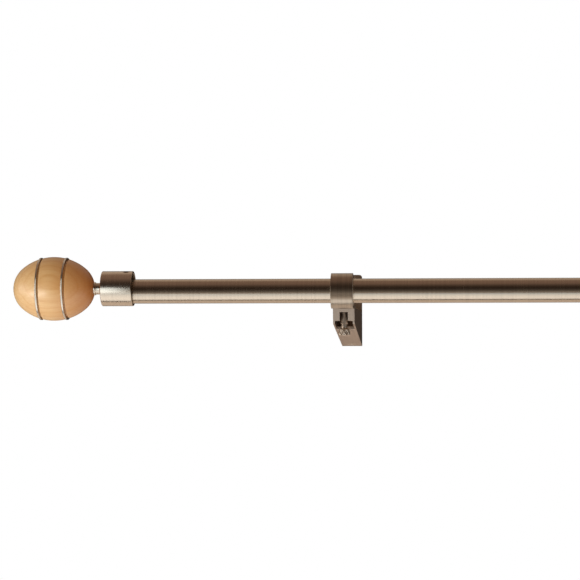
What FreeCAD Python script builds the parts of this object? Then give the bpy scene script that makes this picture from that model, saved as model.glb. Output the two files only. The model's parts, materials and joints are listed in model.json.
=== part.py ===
import FreeCAD, Part
import math
import os
import re
import Sketcher

# Curtain rod with brackets: a thin tube telescopes in a thick tube, each free end carries a turned
# wooden finial on an end cup, and two wall brackets hold the rod in clamp rings.
# X runs along the rod, +Y points at the wall and +Z is up. The origin lies on the wall, straight
# behind the rod's axis at the left bracket.

DIMENSIONS = {
    # rod
    "thin_tube_radius": 8.0,
    "thin_tube_wall": 0.8,
    "thin_tube_span": 698.8,
    "thick_tube_radius": 9.5,
    "thick_tube_wall": 0.8,
    "thick_tube_start": 200.0,
    "thick_tube_span": 650.0,
    "running_gap": 0.05,
    "mouth_sleeve_span": 20.0,
    "mouth_lip_span": 1.5,
    "plug_shank_span": 15.0,
    "plug_flange_span": 4.0,
    "plug_bore_radius": 4.0,
    # end cup and its grub screw
    "left_cup_face": -157.8,
    "cup_span": 20.5,
    "cup_radius": 11.5,
    "cup_bore_radius": 10.05,
    "cup_floor": 3.0,
    "cup_bevel": 0.4,
    "cup_to_tube_end": 4.0,
    "tube_rest_gap": 0.1,
    "grub_radius": 2.0,
    "grub_bevel": 0.4,
    "grub_from_rim": 4.3,
    "grub_tilt": 15.0,
    "grub_socket_flats": 2.0,
    "grub_socket_depth": 1.4,
    "left_grub_span": 4.3,
    "right_grub_span": 2.6,
    # finial
    "stud_radius": 3.0,
    "stud_span": 52.0,
    "collar_radius": 4.3,
    "collar_waist_radius": 3.8,
    "collar_rim": 1.3,
    "egg_centre": -32.2,
    "egg_half_length": 27.0,
    "egg_radius": 21.0,
    "egg_end_radius": 17.5,
    "egg_seat": -5.8,
    "disc_offset": 8.5,
    "disc_radius": 20.5,
    "disc_thickness": 1.2,
    "disc_bevel": 0.35,
    # bracket
    "right_bracket_place": 695.0,
    "wall_distance": 126.0,
    "plate_width": 14.3,
    "plate_thickness": 3.0,
    "plate_top": 11.3,
    "plate_bottom": -39.5,
    "plate_corner": 2.0,
    "wall_hole_radius": 2.25,
    "wall_hole_sink_radius": 4.2,
    "wall_hole_sink_depth": 2.0,
    "upper_wall_hole": 5.6,
    "lower_wall_hole": -4.2,
    "strip_width": 14.3,
    "cheek_thickness": 1.2,
    "arm_nose": 15.9,
    "nose_lean": 0.2,
    "arm_top": -11.6,
    "arm_flat_end": 36.0,
    "arm_rear_top": -15.2,
    "arm_rise_at_axis": -19.1,
    "arm_slope": 0.164,
    "floor_start": 42.0,
    "floor_thickness": 2.0,
    "nose_thickness": 1.5,
    "nose_bottom": -19.8,
    "cheek_corner": -22.0,
    "notch_top": -14.0,
    "bridge_end": 34.0,
    "bridge_thickness": 1.5,
    "slot_radius": 2.7,
    "stub_depth": 15.0,
    "stub_top": -17.5,
    "stub_side_gap": 0.05,
    "arm_screw_place": 115.5,
    "arm_screw_radius": 2.0,
    "arm_screw_head_radius": 3.6,
    "arm_screw_head_depth": 1.6,
    "arm_screw_span": 11.0,
    "thread_run_out": 0.5,
    # clamp ring, screw and nut
    "ring_radius": 11.5,
    "ring_bore_radius": 10.0,
    "tongue_gap": 2.0,
    "tongue_end": 34.0,
    "upper_tongue_root": 8.2,
    "clamp_place": 24.0,
    "clamp_radius": 2.5,
    "clamp_hole_radius": 2.7,
    "clamp_head_radius": 4.0,
    "clamp_head_top": -25.2,
    "clamp_head_span": 4.4,
    "clamp_head_bevel": 0.5,
    "clamp_tip": -2.8,
    "cross_slot_width": 1.2,
    "cross_slot_half": 2.6,
    "cross_slot_depth": 1.5,
    "nut_flats": 8.0,
    "nut_thickness": 3.2,
    "liner_slit": 1.4,
}

# Extra reach of a cutting outline past the faces that it opens, and a shorter one beside faces
# that have to stay.
OVERCUT = "5"
SHORT_OVERCUT = "1"

doc = FreeCAD.newDocument("CurtainRod")
sizes = doc.addObject("Spreadsheet::Sheet", "Sizes")
for row, (alias, number) in enumerate(DIMENSIONS.items(), start=1):
    sizes.set("A%d" % row, alias)
    sizes.set("B%d" % row, str(number))
    sizes.setAlias("B%d" % row, alias)
doc.recompute()

nodes = []


# ---------------------------------------------------------------- expressions

def value(expression):
    """The number that an expression in the sheet's aliases gives."""
    return float(sizes.evalExpression(expression))


def bound(expression):
    """The same expression as another object of the document has to write it."""
    def with_sheet(match):
        word = match.group(0)
        return "Sizes." + word if word in DIMENSIONS else word
    return re.sub(r"[a-z][a-z_]+", with_sheet, expression)


def bind(item, **expressions):
    for name, expression in expressions.items():
        item.setExpression(name, bound(expression))


# ------------------------------------------------------------------- sketches

def new_body(name):
    body = doc.addObject("PartDesign::Body", name)
    body.Label = name
    nodes.append(body)
    return body


def new_sketch(body, plane, name, raised="0"):
    sketch = body.newObject("Sketcher::SketchObject", body.Name + "_" + name)
    origin_planes = [item for item in body.Origin.OriginFeatures if item.Role == plane]
    sketch.AttachmentSupport = [(origin_planes[0], "")]
    sketch.MapMode = "FlatFace"
    sketch.setExpression(".AttachmentOffset.Base.z", bound(raised))
    return sketch


def hold(sketch, kind, geometry, expression, point=1):
    """Fix one coordinate of a point, measured from the sketch's origin."""
    rule = Sketcher.Constraint(kind, -1, 1, geometry, point, value(expression))
    sketch.setExpression("Constraints[%d]" % sketch.addConstraint(rule), bound(expression))


def add_arc(sketch, start, end, centre, radius):
    """The arc that runs anticlockwise from one point to another."""
    middle = FreeCAD.Vector(value(centre[0]), value(centre[1]), 0)
    circle = Part.Circle(middle, FreeCAD.Vector(0, 0, 1), value(radius))
    angles = [math.atan2(point.y - middle.y, point.x - middle.x) for point in (start, end)]
    arc = sketch.addGeometry(Part.ArcOfCircle(circle, angles[0], angles[1]), False)
    fix_radius(sketch, arc, radius)


def fix_radius(sketch, geometry, radius):
    rule = Sketcher.Constraint("Radius", geometry, value(radius))
    sketch.setExpression("Constraints[%d]" % sketch.addConstraint(rule), bound(radius))


def add_outline(sketch, corners, arcs=None):
    """A closed outline through corners given as pairs of expressions.

    Sides are straight, but arcs maps a corner's index to the centre and radius of the arc that
    leaves it, and an outline with arcs runs anticlockwise.
    """
    arcs = arcs or {}
    points = [FreeCAD.Vector(value(across), value(up), 0) for across, up in corners]
    first = sketch.GeometryCount
    count = len(points)
    for index in range(count):
        following = points[(index + 1) % count]
        if index in arcs:
            centre, radius = arcs[index]
            add_arc(sketch, points[index], following, centre, radius)
        else:
            sketch.addGeometry(Part.LineSegment(points[index], following), False)
    for index in range(count):
        following = first + (index + 1) % count
        sketch.addConstraint(Sketcher.Constraint("Coincident", first + index, 2, following, 1))
    for index, (across, up) in enumerate(corners):
        hold(sketch, "DistanceX", first + index, across)
        hold(sketch, "DistanceY", first + index, up)


def add_circle(sketch, across, up, radius):
    centre = FreeCAD.Vector(value(across), value(up), 0)
    normal = FreeCAD.Vector(0, 0, 1)
    circle = sketch.addGeometry(Part.Circle(centre, normal, value(radius)), False)
    hold(sketch, "DistanceX", circle, across, point=3)
    hold(sketch, "DistanceY", circle, up, point=3)
    fix_radius(sketch, circle, radius)


def add_axis(sketch, start, end):
    """A construction line that a revolved cut turns about."""
    points = [FreeCAD.Vector(value(across), value(up), 0) for across, up in (start, end)]
    line = sketch.addGeometry(Part.LineSegment(points[0], points[1]), True)
    for point, (across, up) in ((1, start), (2, end)):
        hold(sketch, "DistanceX", line, across, point)
        hold(sketch, "DistanceY", line, up, point)


# ------------------------------------------------------------------- features

def pad(body, sketch, width):
    feature = body.newObject("PartDesign::Pad", sketch.Name + "_pad")
    feature.Profile = sketch
    feature.SideType = "Symmetric"
    bind(feature, Length=width)
    return feature


def pad_forward(body, sketch, depth):
    feature = body.newObject("PartDesign::Pad", sketch.Name + "_pad")
    feature.Profile = sketch
    bind(feature, Length=depth)
    return feature


def pocket(body, sketch, width):
    """A cut that reaches half its width to each side of the sketch."""
    feature = body.newObject("PartDesign::Pocket", sketch.Name + "_cut")
    feature.Profile = sketch
    feature.SideType = "Symmetric"
    bind(feature, Length=width)
    return feature


def pocket_one_way(body, sketch, depth, along_normal):
    feature = body.newObject("PartDesign::Pocket", sketch.Name + "_cut")
    feature.Profile = sketch
    feature.Reversed = along_normal
    bind(feature, Length=depth)
    return feature


def revolve(body, sketch, axis="H_Axis"):
    feature = body.newObject("PartDesign::Revolution", sketch.Name + "_turned")
    feature.Profile = sketch
    feature.ReferenceAxis = (sketch, [axis])
    feature.Angle = 360
    return feature


def groove(body, sketch, axis="Axis0"):
    feature = body.newObject("PartDesign::Groove", sketch.Name + "_groove")
    feature.Profile = sketch
    feature.ReferenceAxis = (sketch, [axis])
    feature.Angle = 360
    return feature


def turned(name, corners, axis="H_Axis", arcs=None):
    """A piece turned on a lathe: about X by default, about Z with the V axis."""
    body = new_body(name)
    sketch = new_sketch(body, "XZ_Plane", "profile")
    add_outline(sketch, corners, arcs)
    revolve(body, sketch, axis)
    return body


def place(item, across="0", depth="0", height="0", turn=0.0, tilt=0.0):
    """Put a piece in the assembly: turned about Z, then tilted about X, then moved."""
    about_z = FreeCAD.Rotation(FreeCAD.Vector(0, 0, 1), turn)
    about_x = FreeCAD.Rotation(FreeCAD.Vector(1, 0, 0), tilt)
    item.Placement = FreeCAD.Placement(FreeCAD.Vector(0, 0, 0), about_x.multiply(about_z))
    item.setExpression(".Placement.Base.x", bound(across))
    item.setExpression(".Placement.Base.y", bound(depth))
    item.setExpression(".Placement.Base.z", bound(height))


# ------------------------------------------------------------------ the rod

ROD_DEPTH = "-wall_distance"
THIN_START = "left_cup_face + cup_to_tube_end"
THIN_END = "left_cup_face + cup_to_tube_end + thin_tube_span"
THICK_END = "thick_tube_start + thick_tube_span"
THICK_BORE = "thick_tube_radius - thick_tube_wall"


def tube(name, start, end, bore, radius):
    body = turned(name, [(start, bore), (end, bore), (end, radius), (start, radius)])
    place(body, depth=ROD_DEPTH)


def build_rod():
    thin_bore = "thin_tube_radius - thin_tube_wall"
    tube("inner_tube", THIN_START, THIN_END, thin_bore, "thin_tube_radius")
    tube("outer_tube", "thick_tube_start", THICK_END, THICK_BORE, "thick_tube_radius")

    # Plastic sleeve in the mouth of the thick tube, with a lip that covers the tube's edge.
    sleeve_bore = "thin_tube_radius + running_gap"
    sleeve = turned("mouth_sleeve", [
        ("-mouth_lip_span", sleeve_bore),
        ("mouth_sleeve_span", sleeve_bore),
        ("mouth_sleeve_span", THICK_BORE),
        ("0", THICK_BORE),
        ("0", "thick_tube_radius"),
        ("-mouth_lip_span", "thick_tube_radius"),
    ])
    place(sleeve, "thick_tube_start", ROD_DEPTH)

    # Plastic plug on the hidden end of the thin tube, whose flange runs in the thick tube.
    slider = turned("inner_end_plug", [
        ("-plug_shank_span", "plug_bore_radius"),
        ("plug_flange_span", "plug_bore_radius"),
        ("plug_flange_span", THICK_BORE + " - running_gap"),
        ("0", THICK_BORE + " - running_gap"),
        ("0", thin_bore),
        ("-plug_shank_span", thin_bore),
    ])
    place(slider, THIN_END, ROD_DEPTH)


# ------------------------------------------------------------------ finials

STUD_TIP = "cup_floor - stud_span"

def build_cup(side):
    """End cup, closed at x = 0 and open towards +X, with a grub hole in its top."""
    stud_bore = "stud_radius + running_gap"
    cup = turned(side + "_cup", [
        ("0", stud_bore),
        ("cup_floor", stud_bore),
        ("cup_floor", "cup_bore_radius"),
        ("cup_span", "cup_bore_radius"),
        ("cup_span", "cup_radius - cup_bevel"),
        ("cup_span - cup_bevel", "cup_radius"),
        ("cup_bevel", "cup_radius"),
        ("0", "cup_radius - cup_bevel"),
    ])
    hole = new_sketch(cup, "XY_Plane", "grub_hole")
    add_circle(hole, "cup_span - grub_from_rim", "0", "grub_radius + running_gap")
    pocket_one_way(cup, hole, "cup_radius + " + OVERCUT, along_normal=True)
    return cup


def build_grub_screw(side, lowest, span):
    """Headless screw with a hexagon socket, standing on the tube."""
    bevel = "grub_bevel"
    top = "%s + %s" % (lowest, span)
    screw = turned(side + "_grub_screw", [
        ("0", lowest),
        ("grub_radius - " + bevel, lowest),
        ("grub_radius", lowest + " + " + bevel),
        ("grub_radius", top + " - " + bevel),
        ("grub_radius - " + bevel, top),
        ("0", top),
    ], axis="V_Axis")
    socket = new_sketch(screw, "XY_Plane", "socket", raised=top)
    reach = "grub_socket_flats / sqrt(3)"
    add_outline(socket, [("%s * cos(%d deg)" % (reach, corner), "%s * sin(%d deg)" % (reach, corner))
                         for corner in range(0, 360, 60)])
    pocket_one_way(screw, socket, "grub_socket_depth", along_normal=False)
    return screw


def build_knob_metal(side):
    """Stepped collar, long stud and the two discs that part the wooden segments."""
    shoulder = "-running_gap"
    collar = turned(side + "_neck_collar", [
        ("egg_seat", "stud_radius"),
        (shoulder, "stud_radius"),
        (shoulder, "collar_radius"),
        ("-collar_rim", "collar_radius"),
        ("-collar_rim", "collar_waist_radius"),
        ("egg_seat + collar_rim", "collar_waist_radius"),
        ("egg_seat + collar_rim", "collar_radius"),
        ("egg_seat", "collar_radius"),
    ])
    stud = turned(side + "_stud", [
        (STUD_TIP, "0"),
        ("cup_floor - running_gap", "0"),
        ("cup_floor - running_gap", "stud_radius"),
        (STUD_TIP, "stud_radius"),
    ])
    pieces = [collar, stud]
    for name, offset in (("inner", "disc_offset"), ("outer", "-disc_offset")):
        near = "egg_centre + %s + disc_thickness / 2" % offset
        far = "egg_centre + %s - disc_thickness / 2" % offset
        pieces.append(turned("%s_%s_disc" % (side, name), [
            (far, "stud_radius"),
            (near, "stud_radius"),
            (near, "disc_radius - disc_bevel"),
            (near + " - disc_bevel", "disc_radius"),
            (far + " + disc_bevel", "disc_radius"),
            (far, "disc_radius - disc_bevel"),
        ]))
    return pieces


# The egg's outline is an oval of tangent arcs: a wide one over its middle and one round each end.
EGG_END_CENTRE = "(egg_half_length - egg_end_radius)"
EGG_SIDE_RADIUS = (
    "((%s ^ 2 + egg_radius ^ 2 - egg_end_radius ^ 2) / (2 * (egg_radius - egg_end_radius)))"
    % EGG_END_CENTRE)
EGG_SIDE_CENTRE = ("egg_centre", "egg_radius - " + EGG_SIDE_RADIUS)
EGG_JOIN = "(egg_half_length - egg_end_radius) / (%s - egg_end_radius)" % EGG_SIDE_RADIUS


def on_egg_side(offset):
    """A point of the egg's wide arc at a distance from the egg's middle."""
    height = "sqrt(%s ^ 2 - (%s) ^ 2) + egg_radius - %s" % (
        EGG_SIDE_RADIUS, offset, EGG_SIDE_RADIUS)
    return "egg_centre + " + offset, height


def build_wood_middle(side):
    edge = "disc_offset - disc_thickness / 2"
    right = on_egg_side("(%s)" % edge)
    left = on_egg_side("-1 * (%s)" % edge)
    return turned(side + "_wood_middle", [
        (left[0], "stud_radius"),
        (right[0], "stud_radius"),
        right,
        left,
    ], arcs={2: (EGG_SIDE_CENTRE, EGG_SIDE_RADIUS)})


def build_wood_end(side, name, sign, end_point, axial_bore):
    """The tip or base segment: sign is the way along X from the egg's middle to its end."""
    start = on_egg_side("%s * (disc_offset + disc_thickness / 2)" % sign)
    end_centre = "egg_centre + %s * %s" % (sign, EGG_END_CENTRE)
    join = (end_centre + " + %s * egg_end_radius * %s" % (sign, EGG_JOIN),
            "egg_end_radius * sqrt(1 - (%s) ^ 2)" % EGG_JOIN)
    side_arc = (EGG_SIDE_CENTRE, EGG_SIDE_RADIUS)
    end_arc = ((end_centre, "0"), "egg_end_radius")
    if sign == "1":
        corners = [end_point, join, start] + axial_bore
        arcs = {0: end_arc, 1: side_arc}
    else:
        corners = [start, join, end_point] + axial_bore
        arcs = {0: side_arc, 1: end_arc}
    return turned("%s_wood_%s" % (side, name), corners, arcs=arcs)


def build_wood(side):
    """Three wooden segments on the stud, which ends blind in the tip segment."""
    half_disc = "disc_offset + disc_thickness / 2"
    seat_radius = "sqrt(egg_end_radius ^ 2 - (egg_seat - egg_centre - %s) ^ 2)" % EGG_END_CENTRE
    base_start = "egg_centre + " + half_disc
    base = build_wood_end(side, "base", "1", ("egg_seat", seat_radius),
                          [(base_start, "stud_radius"), ("egg_seat", "stud_radius")])
    tip_edge = "egg_centre - (%s)" % half_disc
    tip = build_wood_end(side, "tip", "-1", ("egg_centre - egg_half_length", "0"), [
        (STUD_TIP, "0"),
        (STUD_TIP, "stud_radius"),
        (tip_edge, "stud_radius"),
    ])
    return [base, build_wood_middle(side), tip]


def build_finial(side, face, turn, tube_radius, grub_span):
    """One finial: cup axis lifted so that the tube rests on the cup's lower wall."""
    lift = "cup_bore_radius - %s - tube_rest_gap" % tube_radius
    tube_top = "%s - (%s) + tube_rest_gap" % (tube_radius, lift)
    pieces = [build_cup(side)] + build_knob_metal(side) + build_wood(side)
    screw = build_grub_screw(side, tube_top, grub_span)
    tilt = value("grub_tilt")
    depth = "-wall_distance - (%s) * sin(grub_tilt * 1 deg)" % lift
    height = "(%s) * cos(grub_tilt * 1 deg)" % lift
    for piece in pieces:
        place(piece, face, depth, height, turn, tilt)
    grub_side = "-1" if turn else "1"
    grub_place = "%s + %s * (cup_span - grub_from_rim)" % (face, grub_side)
    place(screw, grub_place, depth, height, turn, tilt)


# ----------------------------------------------------------------- brackets

PLATE_FACE = "wall_distance - plate_thickness"


def under_arm(depth):
    """Height of the arm's slanted underside at a distance behind the rod's axis."""
    return "arm_rise_at_axis - arm_slope * (%s)" % depth


def over_floor(depth):
    """Height of the upper face of the arm's floor at a distance behind the rod's axis."""
    return under_arm(depth) + " + floor_thickness"


def nose_face(height):
    """Distance of the arm's leaning front face behind the rod's axis at a height."""
    return "arm_nose + nose_lean * (arm_top - (%s))" % height


def square_to_floor(along, away):
    """A point given along and square to the arm's underside from the arm screw's place."""
    length = "sqrt(1 + arm_slope * arm_slope)"
    across = "arm_screw_place + (%s) / %s + (%s) * arm_slope / %s" % (along, length, away, length)
    up = "%s - (%s) * arm_slope / %s + (%s) / %s" % (
        under_arm("arm_screw_place"), along, length, away, length)
    return across, up


def at_wall(point):
    """Shift a point of the arm's side view into the wall plate's own frame."""
    return "%s - wall_distance" % point[0], point[1]


def build_wall_plate(name):
    """Cast plate with a stub that the arm slips over; its back lies in the plane y = 0."""
    plate = new_body(name)
    half = "plate_width / 2"
    face = new_sketch(plate, "XZ_Plane", "outline")
    round_height = "plate_top - plate_corner"
    add_outline(face, [
        ("-1 * " + half, "plate_bottom"),
        (half, "plate_bottom"),
        (half, round_height),
        (half + " - plate_corner", "plate_top"),
        ("plate_corner - " + half, "plate_top"),
        ("-1 * " + half, round_height),
    ], arcs={
        2: ((half + " - plate_corner", round_height), "plate_corner"),
        4: (("plate_corner - " + half, round_height), "plate_corner"),
    })
    pad_forward(plate, face, "plate_thickness")

    stub_nose = PLATE_FACE + " - stub_depth"
    stub = new_sketch(plate, "YZ_Plane", "stub")
    add_outline(stub, [at_wall(corner) for corner in (
        (stub_nose, "stub_top"),
        (stub_nose, over_floor(stub_nose)),
        (PLATE_FACE, over_floor(PLATE_FACE)),
        (PLATE_FACE, "stub_top"),
    )])
    pad(plate, stub, "strip_width - 2 * cheek_thickness - 2 * stub_side_gap")

    for label, height in (("upper", "upper_wall_hole"), ("lower", "lower_wall_hole")):
        before_face = "-plate_thickness - " + SHORT_OVERCUT
        hole = new_sketch(plate, "YZ_Plane", label + "_hole")
        add_axis(hole, ("0", height), ("-plate_thickness", height))
        add_outline(hole, [
            (SHORT_OVERCUT, height),
            (SHORT_OVERCUT, height + " + wall_hole_radius"),
            ("wall_hole_sink_depth - plate_thickness", height + " + wall_hole_radius"),
            ("-plate_thickness", height + " + wall_hole_sink_radius"),
            (before_face, height + " + wall_hole_sink_radius"),
            (before_face, height),
        ])
        groove(plate, hole)

    thread = new_sketch(plate, "YZ_Plane", "thread")
    thread_end = "arm_screw_span + thread_run_out"
    add_axis(thread, at_wall(square_to_floor("0", "0")), at_wall(square_to_floor("0", thread_end)))
    add_outline(thread, [at_wall(square_to_floor(along, away)) for along, away in (
        ("0", "0"),
        ("arm_screw_radius", "0"),
        ("arm_screw_radius", thread_end),
        ("0", thread_end),
    )])
    groove(plate, thread)
    return plate


def build_arm(name):
    """Folded sheet channel: two cheeks, a nose flange with a notch, a bridge and a slanted floor."""
    arm = new_body(name)
    side = new_sketch(arm, "YZ_Plane", "side")
    add_outline(side, [
        (nose_face("arm_top"), "arm_top"),
        ("arm_flat_end", "arm_top"),
        (PLATE_FACE, "arm_rear_top"),
        (PLATE_FACE, under_arm(PLATE_FACE)),
        (nose_face("cheek_corner"), "cheek_corner"),
    ])
    pad(arm, side, "strip_width")

    past_wall = "wall_distance + " + OVERCUT
    past_nose = "arm_nose - " + OVERCUT
    past_bridge = "bridge_end + " + SHORT_OVERCUT
    below = "nose_bottom - 2 * " + OVERCUT
    bridge_top = "nose_bottom + bridge_thickness"
    inside = new_sketch(arm, "YZ_Plane", "inside")
    add_outline(inside, [
        (nose_face("0") + " + nose_thickness", "0"),
        (past_wall, "0"),
        (past_wall, over_floor(past_wall)),
        ("floor_start", over_floor("floor_start")),
        ("floor_start", below),
        ("bridge_end", below),
        ("bridge_end", bridge_top),
        (nose_face(bridge_top) + " + nose_thickness", bridge_top),
    ])
    pocket(arm, inside, "strip_width - 2 * cheek_thickness")

    under_bridge = new_sketch(arm, "YZ_Plane", "under_bridge")
    add_outline(under_bridge, [
        (past_nose, "nose_bottom"),
        (past_bridge, "nose_bottom"),
        (past_bridge, below),
        (past_nose, below),
    ])
    pocket(arm, under_bridge, "strip_width - 2 * cheek_thickness")

    notch = new_sketch(arm, "YZ_Plane", "notch")
    add_outline(notch, [
        (past_nose, "notch_top"),
        ("clamp_place", "notch_top"),
        ("clamp_place", below),
        (past_nose, below),
    ])
    pocket(arm, notch, "2 * slot_radius")

    slot_end = new_sketch(arm, "XY_Plane", "slot_end")
    add_circle(slot_end, "0", "clamp_place", "slot_radius")
    pocket(arm, slot_end, "wall_distance")

    under_floor = "-" + SHORT_OVERCUT
    past_floor = "floor_thickness + " + SHORT_OVERCUT
    sink = new_sketch(arm, "YZ_Plane", "screw_hole")
    add_axis(sink, square_to_floor("0", under_floor), square_to_floor("0", past_floor))
    add_outline(sink, [square_to_floor(along, away) for along, away in (
        ("0", under_floor),
        ("arm_screw_head_radius", under_floor),
        ("arm_screw_head_radius", "0"),
        ("arm_screw_radius", "arm_screw_head_depth"),
        ("arm_screw_radius", past_floor),
        ("0", past_floor),
    )])
    groove(arm, sink)
    return arm


def build_arm_screw(name):
    """Countersunk screw, modelled upright with its head's face at z = 0."""
    screw = turned(name, [
        ("0", "0"),
        ("arm_screw_head_radius", "0"),
        ("arm_screw_radius", "arm_screw_head_depth"),
        ("arm_screw_radius", "arm_screw_span"),
        ("0", "arm_screw_span"),
    ], axis="V_Axis")
    cut_cross(screw, "0")
    return screw


def cut_cross(screw, face):
    """A cross recess cut upwards into a head whose lower face is at the given height."""
    below = "%s - %s" % (face, SHORT_OVERCUT)
    for plane in ("YZ_Plane", "XZ_Plane"):
        slot = new_sketch(screw, plane, "slot_" + plane[:2])
        add_outline(slot, [
            ("-cross_slot_half", below),
            ("cross_slot_half", below),
            ("cross_slot_half / 2", face + " + cross_slot_depth"),
            ("-cross_slot_half / 2", face + " + cross_slot_depth"),
        ])
        pocket(screw, slot, "cross_slot_width")


def build_ring(name):
    """Strip rolled round the rod, with an upper and a lower tongue that run back over the arm."""
    ring = new_body(name)
    loop = new_sketch(ring, "YZ_Plane", "loop")
    add_circle(loop, "0", "0", "ring_radius")
    add_circle(loop, "0", "0", "ring_bore_radius")
    pad(ring, loop, "strip_width")

    lower_face = "-ring_bore_radius"
    upper_face = "tongue_gap - ring_bore_radius"
    upper_back = upper_face + " + ring_radius - ring_bore_radius"
    past_ring = "ring_radius + " + SHORT_OVERCUT
    slit = new_sketch(ring, "YZ_Plane", "slit")
    add_outline(slit, [
        ("0", lower_face),
        (past_ring, lower_face),
        (past_ring, upper_face),
        ("0", upper_face),
    ])
    pocket(ring, slit, "strip_width + " + OVERCUT)

    lower = new_sketch(ring, "YZ_Plane", "lower_tongue")
    add_outline(lower, [
        ("0", "-ring_radius"),
        ("tongue_end", "-ring_radius"),
        ("tongue_end", lower_face),
        ("0", lower_face),
    ])
    pad(ring, lower, "strip_width")

    upper = new_sketch(ring, "YZ_Plane", "upper_tongue")
    add_outline(upper, [
        ("upper_tongue_root", upper_face),
        ("tongue_end", upper_face),
        ("tongue_end", upper_back),
        ("upper_tongue_root", upper_back),
    ])
    pad(ring, upper, "strip_width")

    hole = new_sketch(ring, "XY_Plane", "clamp_hole")
    add_circle(hole, "0", "clamp_place", "clamp_hole_radius")
    pocket(ring, hole, "wall_distance")
    return ring


def build_liner(name, tube_radius):
    """Split plastic sleeve that fills the ring round the tube."""
    half = "strip_width / 2"
    bore = tube_radius + " + running_gap"
    liner = turned(name, [
        ("-" + half, bore),
        (half, bore),
        (half, "ring_bore_radius"),
        ("-" + half, "ring_bore_radius"),
    ])
    slit = new_sketch(liner, "YZ_Plane", "slit")
    add_outline(slit, [
        (tube_radius + " / 2", "-liner_slit / 2"),
        ("ring_radius", "-liner_slit / 2"),
        ("ring_radius", "liner_slit / 2"),
        (tube_radius + " / 2", "liner_slit / 2"),
    ])
    pocket(liner, slit, "strip_width + " + OVERCUT)
    return liner


def build_clamp_screw(name):
    """Screw from below, with a flat head and a cross recess."""
    low = "clamp_head_top - clamp_head_span"
    screw = turned(name, [
        ("0", low),
        ("clamp_head_radius - clamp_head_bevel", low),
        ("clamp_head_radius", low + " + clamp_head_bevel"),
        ("clamp_head_radius", "clamp_head_top"),
        ("clamp_radius", "clamp_head_top"),
        ("clamp_radius", "clamp_tip - clamp_head_bevel"),
        ("clamp_radius - clamp_head_bevel", "clamp_tip"),
        ("0", "clamp_tip"),
    ], axis="V_Axis")
    cut_cross(screw, low)
    return screw


def build_nut(name):
    """Square nut on the upper tongue."""
    nut = new_body(name)
    seat = "tongue_gap - 2 * ring_bore_radius + ring_radius"
    side = new_sketch(nut, "YZ_Plane", "side")
    add_outline(side, [
        ("-nut_flats / 2", seat),
        ("nut_flats / 2", seat),
        ("nut_flats / 2", seat + " + nut_thickness"),
        ("-nut_flats / 2", seat + " + nut_thickness"),
    ])
    pad(nut, side, "nut_flats")
    bore = new_sketch(nut, "XY_Plane", "bore")
    add_circle(bore, "0", "0", "clamp_radius + running_gap")
    pocket(nut, bore, "wall_distance")
    return nut


def build_bracket(side, across, tube_radius):
    place(build_wall_plate(side + "_wall_plate"), across)
    place(build_arm(side + "_arm"), across, ROD_DEPTH)
    place(build_ring(side + "_rod_ring"), across, ROD_DEPTH)
    place(build_liner(side + "_ring_liner", tube_radius), across, ROD_DEPTH)
    clamp_depth = "clamp_place - wall_distance"
    place(build_clamp_screw(side + "_clamp_screw"), across, clamp_depth)
    place(build_nut(side + "_clamp_nut"), across, clamp_depth)
    screw = build_arm_screw(side + "_arm_screw")
    lean = -math.degrees(math.atan(value("arm_slope")))
    place(screw, across, "arm_screw_place - wall_distance", under_arm("arm_screw_place"),
          tilt=lean)


# ----------------------------------------------------------------- assembly

build_rod()
build_finial("left", "left_cup_face", 0.0, "thin_tube_radius", "left_grub_span")
build_finial("right", THICK_END + " + cup_to_tube_end", 180.0, "thick_tube_radius",
             "right_grub_span")
build_bracket("left", "0", "thin_tube_radius")
build_bracket("right", "right_bracket_place", "thick_tube_radius")
doc.recompute()

faults = [item.Name for item in doc.Objects
          if "Invalid" in item.State or "Error" in item.State]
faults += [node.Label for node in nodes
           if node.Shape.isNull() or not node.Shape.isValid() or len(node.Shape.Solids) != 1]
if faults:
    raise SystemExit("failed objects: " + ", ".join(faults))

os.makedirs("parts", exist_ok=True)
for node in nodes:
    node.Shape.exportStep("parts/%s.step" % node.Label)
    print("%-22s %10.1f mm3" % (node.Label, node.Shape.Volume))
print(len(nodes), "nodes")
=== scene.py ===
import json
import math

import bmesh
import bpy
from mathutils import Matrix, Vector

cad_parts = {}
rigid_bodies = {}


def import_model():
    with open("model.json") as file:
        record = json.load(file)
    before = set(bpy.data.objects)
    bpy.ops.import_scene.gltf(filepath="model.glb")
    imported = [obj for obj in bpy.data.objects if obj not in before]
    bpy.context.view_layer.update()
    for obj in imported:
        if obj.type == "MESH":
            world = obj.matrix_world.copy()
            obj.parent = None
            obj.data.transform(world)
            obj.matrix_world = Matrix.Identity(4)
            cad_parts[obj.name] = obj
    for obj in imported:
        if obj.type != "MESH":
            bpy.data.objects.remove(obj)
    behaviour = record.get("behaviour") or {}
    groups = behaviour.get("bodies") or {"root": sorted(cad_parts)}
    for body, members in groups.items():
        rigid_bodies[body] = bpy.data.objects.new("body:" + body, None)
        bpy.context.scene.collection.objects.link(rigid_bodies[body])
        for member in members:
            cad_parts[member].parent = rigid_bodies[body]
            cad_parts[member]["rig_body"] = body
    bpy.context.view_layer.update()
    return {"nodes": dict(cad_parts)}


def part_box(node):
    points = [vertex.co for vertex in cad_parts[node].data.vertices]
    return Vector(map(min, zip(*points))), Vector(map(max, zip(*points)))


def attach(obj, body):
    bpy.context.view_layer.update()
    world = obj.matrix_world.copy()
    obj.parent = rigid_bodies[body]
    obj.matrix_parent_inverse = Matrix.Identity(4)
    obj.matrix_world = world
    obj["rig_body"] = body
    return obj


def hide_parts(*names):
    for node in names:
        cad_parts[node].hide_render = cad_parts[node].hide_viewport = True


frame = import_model()

MM = 0.001
TINY = 1e-7
FULL_TURN = 2 * math.pi
QUARTER_TURN = math.pi / 2
# A finial's own X axis points from the knob to the rod: +X at the left end, -X at the right one.
SIDES = {"left": 1, "right": -1}
SMOOTH_BELOW = math.radians(32)
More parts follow.
